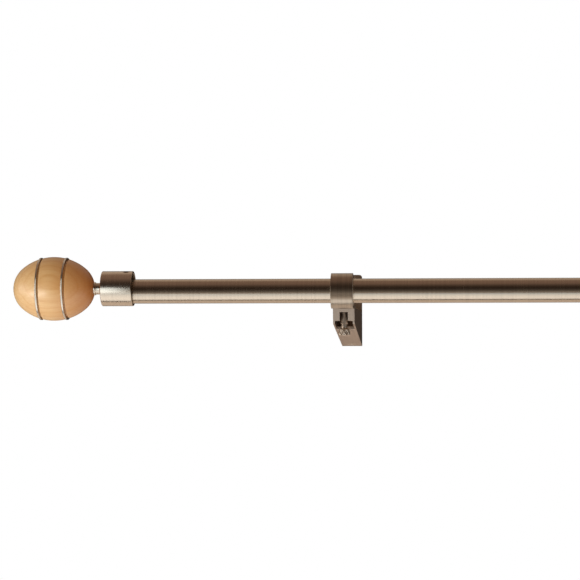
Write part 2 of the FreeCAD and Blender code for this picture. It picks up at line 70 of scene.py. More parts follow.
# Points round a turning: small screws and bores, the collar, most turnings, and the egg.
SCREW_SEGMENTS = 48
COLLAR_SEGMENTS = 96
SEGMENTS = 144
EGG_SEGMENTS = 192
# How far a cutter stands out of the piece that it cuts.
OVERCUT = 1 * MM


# ------------------------------------------------------------------ mesh code

def show(name, mesh, place=None):
    """A new object whose place is in its mesh, as the CAD nodes have it."""
    if place is not None:
        mesh.transform(place)
    work = bmesh.new()
    work.from_mesh(mesh)
    bmesh.ops.recalc_face_normals(work, faces=work.faces)
    work.to_mesh(mesh)
    work.free()
    made = bpy.data.objects.new(name, mesh)
    bpy.context.scene.collection.objects.link(made)
    return made


def applied(made):
    """The object with its modifiers turned into mesh."""
    bpy.context.view_layer.update()
    graph = bpy.context.evaluated_depsgraph_get()
    mesh = bpy.data.meshes.new_from_object(made.evaluated_get(graph))
    made.modifiers.clear()
    made.data = mesh
    return made


def cut(made, cutter, operation="DIFFERENCE"):
    boolean = made.modifiers.new("cut", "BOOLEAN")
    boolean.operation = operation
    boolean.solver = "EXACT"
    boolean.object = cutter
    applied(made)
    bpy.data.objects.remove(cutter)
    return made


def smooth(made):
    made.data.shade_smooth()
    made.data.set_sharp_from_angle(angle=SMOOTH_BELOW)
    return made


def bevelled(made, width, segments=3, angle=40):
    bevel = made.modifiers.new("bevel", "BEVEL")
    bevel.width = width
    bevel.segments = segments
    bevel.limit_method = "ANGLE"
    bevel.angle_limit = math.radians(angle)
    made.data.shade_smooth()
    flattened = made.modifiers.new("flattened", "WEIGHTED_NORMAL")
    flattened.mode = "FACE_AREA"
    flattened.weight = 100
    return applied(made)


def rounded(corners, steps=4):
    """An outline of (along, radius, fillet) corners with each fillet drawn as an arc."""
    points = []
    count = len(corners)
    for index, (along, radius, fillet) in enumerate(corners):
        here = Vector((along, radius))
        before = Vector(corners[index - 1][:2]) - here
        after = Vector(corners[(index + 1) % count][:2]) - here
        if fillet == 0:
            points.append(here)
            continue
        half = before.angle(after) / 2
        inward = (before.normalized() + after.normalized()).normalized()
        centre = here + inward * fillet / math.sin(half)
        reach = fillet / math.tan(half)
        start = here + before.normalized() * reach - centre
        end = here + after.normalized() * reach - centre
        for step in range(steps + 1):
            share = step / steps
            spoke = start * (1 - share) + end * share
            points.append(centre + spoke.normalized() * fillet)
    return points


def turn(name, outline, place, segments=SEGMENTS, closed=True, ripple=None):
    """A lathe mesh about X. A closed outline is a hollow section; an open one ends on the axis."""
    points = []
    rows = []
    for along, radius in outline:
        if radius < TINY:
            rows.append([len(points)] * segments)
            points.append((along, 0, 0))
            continue
        rows.append(list(range(len(points), len(points) + segments)))
        for step in range(segments):
            angle = FULL_TURN * step / segments
            reach = ripple(angle, along, radius) if ripple else radius
            points.append((along, reach * math.sin(angle), reach * math.cos(angle)))
    faces = []
    following = rows[1:] + rows[:1] if closed else rows[1:]
    for row, beyond in zip(rows, following):
        for step in range(segments):
            after = (step + 1) % segments
            corners = list(dict.fromkeys((row[step], row[after], beyond[after], beyond[step])))
            if len(corners) > 2:
                faces.append(corners)
    mesh = bpy.data.meshes.new(name)
    mesh.from_pydata(points, [], faces)
    return smooth(show(name, mesh, place))


def extrude(name, outline, width, place):
    """A prism: an outline of (y, z) points pushed along X by half the width to each side."""
    count = len(outline)
    points = [(side * width / 2, y, z) for side in (-1, 1) for y, z in outline]
    faces = [tuple(range(count)), tuple(range(count, 2 * count))]
    for step in range(count):
        after = (step + 1) % count
        faces.append((step, after, count + after, count + step))
    mesh = bpy.data.meshes.new(name)
    mesh.from_pydata(points, [], faces)
    return show(name, mesh, place)


def upright(place):
    """The place of a piece that was turned about X and stands along +Z."""
    return place @ Matrix.Rotation(-QUARTER_TURN, 4, "Y")


def at(x, y, z):
    return Matrix.Translation((x, y, z))


def middle(node):
    low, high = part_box(node)
    return (low + high) / 2


def carry(made, node, material):
    """The piece rides with its node's body, stands for the node and takes the finish it is given.
    """
    made.data.materials.clear()
    made.data.materials.append(material)
    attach(made, frame["nodes"][node]["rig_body"])
    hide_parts(node)
    return made


# ------------------------------------------------------------------ materials

def add(tree, kind, settings=None, **inputs):
    """A shader node: settings are its attributes, inputs are values or sockets.

    An input is called by its name, with _ for a space, or by i and its number.
    """
    made = tree.nodes.new("ShaderNode" + kind)
    for key, setting in (settings or {}).items():
        setattr(made, key, setting)
    for key, item in inputs.items():
        socket = made.inputs[int(key[1:]) if key[1:].isdigit() else key.replace("_", " ")]
        if isinstance(item, bpy.types.NodeSocket):
            tree.links.new(item, socket)
        else:
            socket.default_value = item
    return made


def maths(tree, operation, first, second=0.0, third=0.5):
    return add(tree, "Math", {"operation": operation}, i0=first, i1=second, i2=third).outputs[0]


def ramp(tree, factor, stops):
    made = add(tree, "ValToRGB", i0=factor)
    band = made.color_ramp
    while len(band.elements) < len(stops):
        band.elements.new(0.5)
    for element, (place, shade) in zip(band.elements, stops):
        element.position = place
        element.color = (*shade, 1)
    return made.outputs[0]


def blend(tree, factor, first, second, mode="MIX"):
    made = add(tree, "Mix", {"data_type": "RGBA", "blend_type": mode}, i0=factor)
    for socket, item in ((made.inputs[6], first), (made.inputs[7], second)):
        if isinstance(item, bpy.types.NodeSocket):
            tree.links.new(item, socket)
        else:
            socket.default_value = (*item, 1)
    return made.outputs[2]


def noise(tree, scale, detail=3.0, rough=0.6, stretch=(1, 1, 1), source=None):
    source = source or add(tree, "TexCoord").outputs["Object"]
    mapped = add(tree, "Mapping", Vector=source, Scale=stretch).outputs[0]
    made = add(tree, "TexNoise", Vector=mapped, Scale=scale, Detail=detail, Roughness=rough)
    return made.outputs[0]


def span(tree, factor, low, high):
    """A 0 to 1 noise value stretched to a range."""
    return add(tree, "MapRange", Value=factor, To_Min=low, To_Max=high).outputs[0]


def new_material(name):
    material = bpy.data.materials.new(name)
    material.use_nodes = True
    tree = material.node_tree
    tree.nodes.clear()
    shader = add(tree, "BsdfPrincipled")
    output = add(tree, "OutputMaterial")
    tree.links.new(shader.outputs[0], output.inputs[0])
    return material, tree, shader


def linear(red, green, blue):
    def channel(level):
        level /= 255
        return level / 12.92 if level <= 0.04045 else ((level + 0.055) / 1.055) ** 2.4
    return channel(red), channel(green), channel(blue)


BLACK = (0, 0, 0)
WHITE = (1, 1, 1)


def scaled(shade, factor):
    return tuple(min(1.0, level * factor) for level in shade)


# Noise cycles per metre across brush lines and along them.
ACROSS_BRUSH = 1100
ALONG_BRUSH = 9
# How dark a folded sheet's side faces are painted: a painted shade.
SIDE_FACE_PAINTED_SHADE = 0.5
# How light convex edges are painted, and how much of it shows: a painted highlight.
EDGE_PAINTED_HIGHLIGHT = 1.35
EDGE_PAINTED_HIGHLIGHT_SHARE = 0.6


def brushed(name, tint, roughness, anisotropy, sheeted=False, streak=(0.88, 1.08)):
    """Satin plated metal with fine brush lines: round the X axis, or along a folded sheet's faces.

    streak is the range that the lines vary the tint by.
    """
    material, tree, shader = new_material(name)
    lines = noise(tree, 1.0, 4.0, 0.7, (ACROSS_BRUSH, ALONG_BRUSH, ALONG_BRUSH))
    if sheeted:
        flat = noise(tree, 1.0, 4.0, 0.7, (ALONG_BRUSH, ALONG_BRUSH, ACROSS_BRUSH))
        normal = add(tree, "NewGeometry").outputs["Normal"]
        across = add(tree, "SeparateXYZ", i0=normal).outputs[0]
        lines = add(tree, "Mix", i0=maths(tree, "ABSOLUTE", across), i2=lines, i3=flat).outputs[0]
    cloudy = noise(tree, 70.0, 3.0)
    shade = ramp(tree, lines, [(0.3, scaled(tint, streak[0])), (0.7, scaled(tint, streak[1]))])
    shade = blend(tree, span(tree, cloudy, 0.0, 0.25), shade, scaled(tint, 0.85))
    if sheeted:
        # The sheet's side faces, which look along X, are painted darker: a painted shade.
        side = ramp(tree, maths(tree, "ABSOLUTE", across), [(0.8, BLACK), (0.97, WHITE)])
        shade = blend(tree, side, shade, scaled(tint, SIDE_FACE_PAINTED_SHADE))
    else:
        # Convex edges are painted lighter: a painted highlight where rounded edges catch the
        # light.
        edges = add(tree, "NewGeometry").outputs["Pointiness"]
        painted_edge_highlight = ramp(tree, edges, [(0.53, BLACK), (0.62, WHITE)])
        painted_edge_highlight = maths(tree, "MULTIPLY", painted_edge_highlight, EDGE_PAINTED_HIGHLIGHT_SHARE)
        shade = blend(tree, painted_edge_highlight, shade, scaled(tint, EDGE_PAINTED_HIGHLIGHT))
    tree.links.new(shade, shader.inputs["Base Color"])
    rough = maths(tree, "ADD", span(tree, lines, -0.06, 0.06), span(tree, cloudy, -0.05, 0.05))
    tree.links.new(maths(tree, "ADD", rough, roughness), shader.inputs["Roughness"])
    bump = add(tree, "Bump", Strength=0.05, Distance=0.00002, Height=lines)
    tree.links.new(bump.outputs[0], shader.inputs["Normal"])
    shader.inputs["Metallic"].default_value = 1.0
    if anisotropy:
        tangent = add(tree, "Tangent", {"direction_type": "RADIAL", "axis": "X"}).outputs[0]
        tree.links.new(tangent, shader.inputs["Tangent"])
        shader.inputs["Anisotropic"].default_value = anisotropy
        shader.inputs["Anisotropic Rotation"].default_value = 0.25
    return material


# The tree's heart runs along X, behind and above the knobs. Growth layers go round it.
HEART_Y = -0.201
HEART_Z = 0.022
LAYERS_PER_METRE = 210.0
LAYER_WANDER = 2.4
# Noise cycles per metre across the grain and along it, and the same for the flecks.
ACROSS_GRAIN = 1100
ALONG_GRAIN = 45
FLECK_SPACING = (420, 2000, 2000)
# How far from the neck the wood is darkened, by stain and by painted shade.
STAIN_AND_SHADE_REACH = 26 * MM


def turned_wood(name, rod_middle, knob_reach):
    """Satin lacquered beech: growth layers, grain and short flecks that run along X.

    rod_middle is halfway between the two knobs' necks, and knob_reach is how far they are from it.
    """
    material, tree, shader = new_material(name)
    source = add(tree, "TexCoord").outputs["Object"]
    wander = noise(tree, 1.0, 2.0, 0.5, (16, 45, 45), source)
    parts = add(tree, "SeparateXYZ", i0=source)
    depth = maths(tree, "SUBTRACT", parts.outputs[1], HEART_Y)
    height = maths(tree, "SUBTRACT", parts.outputs[2], HEART_Z)
    distance = maths(tree, "SQRT", maths(tree, "MULTIPLY_ADD", depth, depth,
                                         maths(tree, "MULTIPLY", height, height)))
    layers = maths(tree, "MULTIPLY_ADD", distance, LAYERS_PER_METRE,
                   span(tree, wander, 0, LAYER_WANDER))
    growth = maths(tree, "FRACT", layers)
    shade = ramp(tree, growth, [
        (0.0, linear(236, 194, 136)),
        (0.3, linear(238, 199, 142)),
        (0.75, linear(236, 194, 137)),
        (0.94, linear(227, 181, 121)),
        (1.0, linear(236, 194, 136)),
    ])
    grain = noise(tree, 1.0, 4.0, 0.65, (ALONG_GRAIN, ACROSS_GRAIN, ACROSS_GRAIN), source)
    shade = blend(tree, ramp(tree, grain, [(0.35, (0.42, 0.42, 0.42)), (0.62, BLACK)]),
                  shade, linear(218, 162, 96))
    cloudy = noise(tree, 26.0, 3.0, 0.5, (0.6, 1, 1), source)
    shade = blend(tree, ramp(tree, cloudy, [(0.45, BLACK), (0.72, (0.4, 0.4, 0.4))]),
                  shade, linear(222, 158, 88))
    fleck_space = add(tree, "Mapping", Vector=source, Scale=FLECK_SPACING).outputs[0]
    flecks = add(tree, "TexVoronoi", Vector=fleck_space, Scale=1.0).outputs[0]
    spots = ramp(tree, flecks, [(0.10, WHITE), (0.2, BLACK)])
    shade = blend(tree, maths(tree, "MULTIPLY", spots, 0.2), shade, linear(160, 102, 56))
    # Darker towards the neck: partly end grain that takes up more stain, partly painted shade
    # where the wood meets the cup.
    from_middle = maths(tree, "ABSOLUTE", maths(tree, "SUBTRACT", parts.outputs[0], rod_middle))
    to_neck = maths(tree, "SUBTRACT", from_middle, knob_reach)
    stain_and_painted_shade = add(tree, "MapRange", Value=to_neck, From_Min=0.0, From_Max=STAIN_AND_SHADE_REACH,
                  To_Min=0.85, To_Max=0.0).outputs[0]
    shade = blend(tree, stain_and_painted_shade, shade, linear(194, 114, 50))
    tree.links.new(shade, shader.inputs["Base Color"])
    tree.links.new(span(tree, grain, 0.42, 0.6), shader.inputs["Roughness"])
    bump = add(tree, "Bump", Strength=0.2, Distance=0.00004, Height=grain)
    tree.links.new(bump.outputs[0], shader.inputs["Normal"])
    shader.inputs["Coat Weight"].default_value = 0.6
    shader.inputs["Coat Roughness"].default_value = 0.26
    return material


def moulded(name, tint):
    """Natural polymer of the hidden guides, with the faint mottle of a moulding."""
    material, tree, shader = new_material(name)
    mottle = noise(tree, 260.0, 4.0)
    shade = ramp(tree, mottle, [(0.3, scaled(tint, 0.9)), (0.7, scaled(tint, 1.06))])
    tree.links.new(shade, shader.inputs["Base Color"])
    tree.links.new(span(tree, mottle, 0.38, 0.55), shader.inputs["Roughness"])
    bump = add(tree, "Bump", Strength=0.15, Distance=0.00002, Height=mottle)
    tree.links.new(bump.outputs[0], shader.inputs["Normal"])
    return material


BRONZE = (0.66, 0.565, 0.45)
rod_metal = brushed("rod_metal", BRONZE, 0.25, 0.65)
# The cup takes the rod's bronze painted lighter, a painted light, and the ring takes it painted
# darker, a painted shade.
cap_metal = brushed("cap_metal", scaled(BRONZE, 1.1), 0.27, 0.5)
ring_metal = brushed("ring_metal", scaled(BRONZE, 0.9), 0.32, 0.2, streak=(0.66, 1.12))
bracket_metal = brushed("bracket_metal", (0.64, 0.515, 0.41), 0.38, 0.0, sheeted=True)
disc_metal = brushed("disc_metal", (0.8, 0.74, 0.64), 0.24, 0.0)
screw_metal = brushed("screw_metal", (0.66, 0.55, 0.44), 0.42, 0.0)
guide_plastic = moulded("guide_plastic", (0.62, 0.58, 0.5))
necks = [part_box(side + "_wood_base") for side in SIDES]
neck_left, neck_right = necks[0][1].x, necks[1][0].x
finial_wood = turned_wood("finial_wood", (neck_left + neck_right) / 2,
                          (neck_right - neck_left) / 2)


# -------------------------------------------------------------------- the rod

TUBE_WALL = 0.8 * MM
TUBE_EDGE = 0.15 * MM
# The smallest fillet, and the gap between pieces that slide on or rest against each other.
FINE = 0.1 * MM
PLAY = 0.05 * MM
PLUG_BORE_SHARE = 0.56


def build_tube(node):
    low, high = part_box(node)
    centre = middle(node)
    radius = (high.z - low.z) / 2
    outline = rounded([
        (low.x, radius - TUBE_WALL, TUBE_EDGE),
        (high.x, radius - TUBE_WALL, TUBE_EDGE),
        (high.x, radius, TUBE_EDGE),
        (low.x, radius, TUBE_EDGE),
    ])
    tube = turn(node + "_made", outline, at(0, centre.y, centre.z))
    carry(tube, node, rod_metal)


def build_rod():
    build_tube("inner_tube")
    build_tube("outer_tube")
    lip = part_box("outer_tube")[0].x
    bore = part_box("inner_tube")[1].z + PLAY
    low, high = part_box("mouth_sleeve")
    centre = middle("mouth_sleeve")
    outer = high.z - centre.z
    outline = rounded([
        (low.x, bore, 2 * FINE),
        (high.x, bore, FINE),
        (high.x, outer - TUBE_WALL, FINE),
        (lip, outer - TUBE_WALL, 0),
        (lip, outer, FINE),
        (low.x, outer, 4 * FINE),
    ])
    sleeve = turn("mouth_sleeve_made", outline, at(0, centre.y, centre.z))
    carry(sleeve, "mouth_sleeve", guide_plastic)

    low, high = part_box("inner_end_plug")
    centre = middle("inner_end_plug")
    outer = high.z - centre.z
    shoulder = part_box("inner_tube")[1].x
    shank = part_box("inner_tube")[1].z - TUBE_WALL
    outline = rounded([
        (low.x, shank * PLUG_BORE_SHARE, FINE),
        (high.x, shank * PLUG_BORE_SHARE, 3 * FINE),
        (high.x, outer, 4 * FINE),
        (shoulder, outer, FINE),
        (shoulder, shank, 0),
        (low.x, shank, 3 * FINE),
    ])
    plug = turn("inner_end_plug_made", outline, at(0, centre.y, centre.z))
    carry(plug, "inner_end_plug", guide_plastic)


# -------------------------------------------------------------------- threads

# Depth of a thread and length of its run-out, as shares of its pitch.
THREAD_DEPTH = 0.54
THREAD_RUN_OUT = 0.7
FLANK_SLOPE = 2.4


def threaded(radius, pitch, low, high, steps=6):
    """Rows for a threaded shank, steps to a pitch, and the ripple that cuts the thread into it."""
    depth = pitch * THREAD_DEPTH
    count = max(2, round((high - low) / pitch * steps))
    rows = [(low + (high - low) * step / count, radius) for step in range(count + 1)]

    def ripple(angle, along, reach):
        if reach < radius - TINY or not low <= along <= high:
            return reach
        phase = (along / pitch - angle / FULL_TURN) % 1.0
        cut_share = min(1.0, abs(phase - 0.5) * FLANK_SLOPE)
        nearness = min(along - low, high - along) / (THREAD_RUN_OUT * pitch)
        chamfer = depth * max(0.0, 1.0 - nearness)
        return reach - max(depth * cut_share, chamfer)
    return rows, ripple


# -------------------------------------------------------------------- finials

CUP_RADIUS = 11.5 * MM
CUP_BORE = 10.05 * MM
CUP_FLOOR = 3 * MM
STUD_RADIUS = 3 * MM
STUD_PITCH = 1 * MM
STUD_SEGMENTS = 40
GRUB_TILT = math.radians(15)
GRUB_RADIUS = 2 * MM
GRUB_PITCH = 0.7 * MM
GRUB_HOLE = 2.07 * MM
GRUB_SINK = 2.9 * MM
GRUB_SOCKET = 1.15 * MM
GRUB_SOCKET_DEPTH = 1.4 * MM
# Where the grub screw's drill starts and ends, from the cup's axis.
DRILL_START = 6 * MM
DRILL_END = 14 * MM
COLLAR_RIM = 1.3 * MM
COLLAR_WAIST_DEPTH = 0.5 * MM
EGG_END_RADIUS = 17.5 * MM


def egg(node_middle, node_tip):
    """A function that gives the egg's radius at a distance from its middle."""
    centre = middle(node_middle)
    low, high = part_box(node_middle)
    half = (high.z - low.z) / 2
    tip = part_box(node_tip)
    length = max(abs(tip[0].x - centre.x), abs(tip[1].x - centre.x))
    end_centre = length - EGG_END_RADIUS
    wide = (end_centre ** 2 + half ** 2 - EGG_END_RADIUS ** 2) / (2 * (half - EGG_END_RADIUS))
    join = end_centre + EGG_END_RADIUS * end_centre / (wide - EGG_END_RADIUS)

    def radius(offset):
        offset = abs(offset)
        if offset <= join:
            return math.sqrt(wide ** 2 - offset ** 2) + half - wide
        return math.sqrt(max(0.0, EGG_END_RADIUS ** 2 - (offset - end_centre) ** 2))
    return radius


# The groove beside each disc, and the rounding of a wooden segment's rims.
GROOVE_WIDTH = 1.0 * MM
GROOVE_DEPTH = 1.5 * MM
EASED = 0.25 * MM


def wood_section(start, end, radius, bore, grooved, rows=40):
    """The outline of a segment between two offsets from the egg's middle.

    Its rims are eased, and a grooved one has a narrow groove beside the disc before it.
    """
    first = start + (GROOVE_WIDTH if grooved else 0)
    points = [(start, bore)]
    if grooved:
        points += [(start, radius(start) - GROOVE_DEPTH), (first, radius(first) - GROOVE_DEPTH)]
    for step in range(rows + 1):
        offset = first + (end - first) * (0.5 - 0.5 * math.cos(math.pi * step / rows))
        reach = radius(offset)
        for rim in (first, end):
            gap = abs(offset - rim)
            if gap < EASED and radius(rim) > 2 * STUD_RADIUS:
                reach -= EASED - math.sqrt(EASED ** 2 - (EASED - gap) ** 2)
        points.append((offset, max(reach, 0.0)))
    points.append((end, bore))
    return points


def build_finial(side, sign):
    """The pieces of one end, in a place whose X axis runs from the cup's face to the rod."""
    centre = middle(side + "_cup")
    low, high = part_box(side + "_cup")
    face = low.x if sign > 0 else high.x
    spin = Matrix.Rotation(0 if sign > 0 else math.pi, 4, "Z")
    tilt = Matrix.Rotation(GRUB_TILT, 4, "X")
    place = at(face, centre.y, centre.z) @ tilt @ spin
    grub_along = sign * (middle(side + "_grub_screw").x - face)
    grub_place = place @ upright(at(grub_along, 0, 0))
    build_cup(side, place, grub_place)
    build_collar(side, place)
    tip = build_stud(side, sign, face, place)
    build_discs(side, sign, face, place)
    build_egg(side, sign, face, place, tip)
    build_grub(side, place, grub_place)


def build_cup(side, place, grub_place):
    low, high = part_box(side + "_cup")
    depth = high.x - low.x
    cup = turn(side + "_cup_made", rounded([
        (0, STUD_RADIUS + FINE / 2, FINE),
        (CUP_FLOOR, STUD_RADIUS + FINE / 2, FINE),
        (CUP_FLOOR, CUP_BORE, 3 * FINE),
        (depth, CUP_BORE, 2 * FINE),
        (depth, CUP_RADIUS, 4 * FINE),
        (0, CUP_RADIUS, 5 * FINE),
    ]), place)
    drill = turn("drill", [
        (DRILL_START, 0),
        (DRILL_START, GRUB_HOLE),
        (CUP_RADIUS - 5 * FINE, GRUB_HOLE),
        (CUP_RADIUS + 6 * FINE, GRUB_SINK),
        (DRILL_END, GRUB_SINK),
        (DRILL_END, 0),
    ], grub_place, SCREW_SEGMENTS, closed=False)
    cut(cup, drill)
    carry(smooth(cup), side + "_cup", cap_metal)


def build_collar(side, place):
    """Neck collar with a rim at each end."""
    low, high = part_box(side + "_neck_collar")
    radius = (high.z - low.z) / 2
    seat = low.x - high.x - PLAY
    waist = radius - COLLAR_WAIST_DEPTH
    collar = turn(side + "_neck_collar_made", rounded([
        (seat, STUD_RADIUS, FINE),
        (-FINE / 2, STUD_RADIUS, FINE),
        (-FINE / 2, radius, 4 * FINE),
        (-COLLAR_RIM, radius, 3 * FINE),
        (-COLLAR_RIM - 2 * FINE, waist, FINE),
        (seat + COLLAR_RIM + 2 * FINE, waist, FINE),
        (seat + COLLAR_RIM, radius, 3 * FINE),
        (seat, radius, 4 * FINE),
    ]), place, COLLAR_SEGMENTS)
    carry(collar, side + "_neck_collar", cap_metal)


def build_stud(side, sign, face, place):
    """Threaded stud; returns how far its tip in the egg is from the cup's face."""
    low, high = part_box(side + "_stud")
    tip, end = sorted(sign * (x - face) for x in (low.x, high.x))
    rows, ripple = threaded(STUD_RADIUS, STUD_PITCH, tip, end, steps=5)
    stud = turn(side + "_stud_made", [(tip, 0)] + rows + [(end, 0)], place, STUD_SEGMENTS,
                closed=False, ripple=ripple)
    carry(stud, side + "_stud", screw_metal)
    return tip


def build_discs(side, sign, face, place):
    for which in ("inner", "outer"):
        node = "%s_%s_disc" % (side, which)
        low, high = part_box(node)
        across = sign * (middle(node).x - face)
        half = (high.x - low.x) / 2
        radius = (high.z - low.z) / 2
        disc = turn(node + "_made", rounded([
            (across - half, STUD_RADIUS, FINE),
            (across + half, STUD_RADIUS, FINE),
            (across + half, radius, 3 * FINE),
            (across - half, radius, 3 * FINE),
        ], steps=5), place, EGG_SEGMENTS)
        carry(disc, node, disc_metal)


def build_egg(side, sign, face, place, stud_tip):
    """Three wooden segments. The tip has a blind hole for the stud, the others a through one."""
    egg_middle = sign * (middle(side + "_wood_middle").x - face)
    profile = egg(side + "_wood_middle", side + "_wood_tip")
    egg_place = place @ at(egg_middle, 0, 0)
    for part in ("tip", "middle", "base"):
        node = "%s_wood_%s" % (side, part)
        low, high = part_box(node)
        start, end = sorted(sign * (x - face) - egg_middle for x in (low.x, high.x))
        if part == "tip":
            hole = stud_tip - egg_middle
            surface = wood_section(start, end, profile, 0.0, False, 56)[1:-1]
            outline = [(hole, 0), (hole, STUD_RADIUS), (end, STUD_RADIUS)] + surface[::-1]
            wood = turn(node + "_made", outline, egg_place, EGG_SEGMENTS, closed=False)
        else:
            outline = wood_section(start, end, profile, STUD_RADIUS, True)
            wood = turn(node + "_made", outline, egg_place, EGG_SEGMENTS)
        carry(wood, node, finial_wood)


def build_grub(side, place, grub_place):
    """Headless threaded screw with a hexagon socket."""
    node = side + "_grub_screw"
    low, high = heights(node, place)
    rows, ripple = threaded(GRUB_RADIUS, GRUB_PITCH, low, high, steps=8)
    grub = turn(node + "_made", [(low, 0)] + rows + [(high, 0)], grub_place, SCREW_SEGMENTS,
                closed=False, ripple=ripple)
    socket = turn("socket", [
        (high - GRUB_SOCKET_DEPTH, 0),
        (high - GRUB_SOCKET_DEPTH, GRUB_SOCKET),
        (high + OVERCUT, GRUB_SOCKET),
        (high + OVERCUT, 0),
    ], grub_place, 6, closed=False)
    cut(grub, socket)
    carry(smooth(grub), node, screw_metal)


def heights(node, place):
    """Lowest and highest point of a node along the Z axis of a place."""
    back = place.inverted()
    levels = [(back @ vertex.co).z for vertex in frame["nodes"][node].data.vertices]
    return min(levels), max(levels)


# ------------------------------------------------------------------- brackets

RING_RADIUS = 11.5 * MM
RING_BORE = 10 * MM
RING_STEPS = 110
RING_EDGE = 0.28 * MM
TONGUE_GAP = 2 * MM
# Where the upper tongue leaves the ring's outer and inner face, behind the ring's centre.
OUTER_ROOT = 8.9 * MM
INNER_ROOT = 6 * MM
LINER_EDGE = 0.08 * MM
ARM_EDGE = 0.22 * MM
PLATE_EDGE = 0.35 * MM


WELD_DISTANCE = 0.002 * MM
FLAT_BELOW = math.radians(0.5)


def copied(node):
    """The CAD node's mesh in a new piece, its flat faces joined up again."""
    work = bmesh.new()
    work.from_mesh(frame["nodes"][node].data)
    bmesh.ops.remove_doubles(work, verts=work.verts, dist=WELD_DISTANCE)
    bmesh.ops.dissolve_limit(work, angle_limit=FLAT_BELOW, verts=work.verts, edges=work.edges)
    mesh = bpy.data.meshes.new(node)
    work.to_mesh(mesh)
    work.free()
    return show(node + "_made", mesh)


def arc(radius, start, sweep, steps):
    """Points on an arc round the origin, steps to its sweep."""
    angles = [start + sweep * step / steps for step in range(steps + 1)]
    return [(radius * math.cos(angle), radius * math.sin(angle)) for angle in angles]


def build_ring(side):
    """Rolled strip with two tongues; its outline is drawn with round bends."""
    node = side + "_rod_ring"
    low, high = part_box(node)
    centre_y = low.y + RING_RADIUS
    centre_z = high.z - RING_RADIUS
    back = high.y - centre_y
    upper_inside = -RING_BORE + TONGUE_GAP
    upper_outside = upper_inside + RING_RADIUS - RING_BORE
    bottom = -QUARTER_TURN
    # Outer face: from the upper tongue's root over the top and front to the bottom.
    start = math.atan2(upper_outside, OUTER_ROOT)
    points = arc(RING_RADIUS, start, FULL_TURN + bottom - start, RING_STEPS)
    points += [(back, -RING_RADIUS), (back, -RING_BORE)]
    # Inner face: from the bottom round the front and top to the upper tongue.
    last = math.atan2(upper_inside, INNER_ROOT)
    points += arc(RING_BORE, bottom, last - bottom - FULL_TURN, RING_STEPS)
    points += [(back, upper_inside), (back, upper_outside)]
    ring = extrude(node + "_made", points, high.x - low.x,
                   at((low.x + high.x) / 2, centre_y, centre_z))
    hole = middle(side + "_clamp_screw")
    drill = turn("drill", [
        (-RING_RADIUS - OVERCUT, 0),
        (-RING_RADIUS - OVERCUT, CLAMP_HOLE),
        (0, CLAMP_HOLE),
        (0, 0),
    ], upright(at(hole.x, hole.y, centre_z)), SCREW_SEGMENTS, closed=False)
    cut(ring, drill)
    carry(bevelled(ring, RING_EDGE), node, ring_metal)


def build_liner(side):
    node = side + "_ring_liner"
    liner = bevelled(copied(node), LINER_EDGE, 2, 50)
    carry(liner, node, guide_plastic)


def cross_cutter(low, high, half, width, place):
    """Two crossed blades, half as wide at their high end, that press a cross recess."""
    blades = []
    for quarter in (0, 1):
        outline = [(-half, low), (half, low), (half / 2, high), (-half / 2, high)]
        spin = place @ Matrix.Rotation(quarter * QUARTER_TURN, 4, "Z")
        blades.append(extrude("blade", outline, width, spin))
    return cut(blades[0], blades[1], "UNION")


CLAMP_RADIUS = 2.5 * MM
CLAMP_HOLE = 2.7 * MM
CLAMP_PITCH = 0.8 * MM
CLAMP_NECK = 1.9 * MM
CLAMP_HEAD_SPAN = 4.4 * MM
CLAMP_HEAD_CHAMFER = 0.5 * MM
CLAMP_HEAD_STEPS = 26
CLAMP_SEGMENTS = 160
# Heights above the head: where the thin neck ends, where the plain length starts and ends, and
# where the thread starts.
NECK_END = 3.0 * MM
PLAIN_START = 3.6 * MM
PLAIN_END = 10.9 * MM
THREAD_START = 11 * MM
KNURL_RIDGES = 8
KNURL_HALF_WIDTH = 0.13
KNURL_DEPTH = 0.32 * MM
CLAMP_CROSS_DEPTH = 1.5 * MM
CLAMP_CROSS_HALF = 2.6 * MM
CLAMP_CROSS_WIDTH = 1.2 * MM


def clamp_head_rows(low, high, radius):
    """Rows along a knurled head whose rims are rounded."""
    rows = []
    for step in range(CLAMP_HEAD_STEPS + 1):
        level = low + (high - low) * step / CLAMP_HEAD_STEPS
        drop = CLAMP_HEAD_CHAMFER - min(level - low, high - level, CLAMP_HEAD_CHAMFER)
        inset = CLAMP_HEAD_CHAMFER - math.sqrt(CLAMP_HEAD_CHAMFER ** 2 - drop ** 2)
        rows.append((level, radius - inset))
    return rows


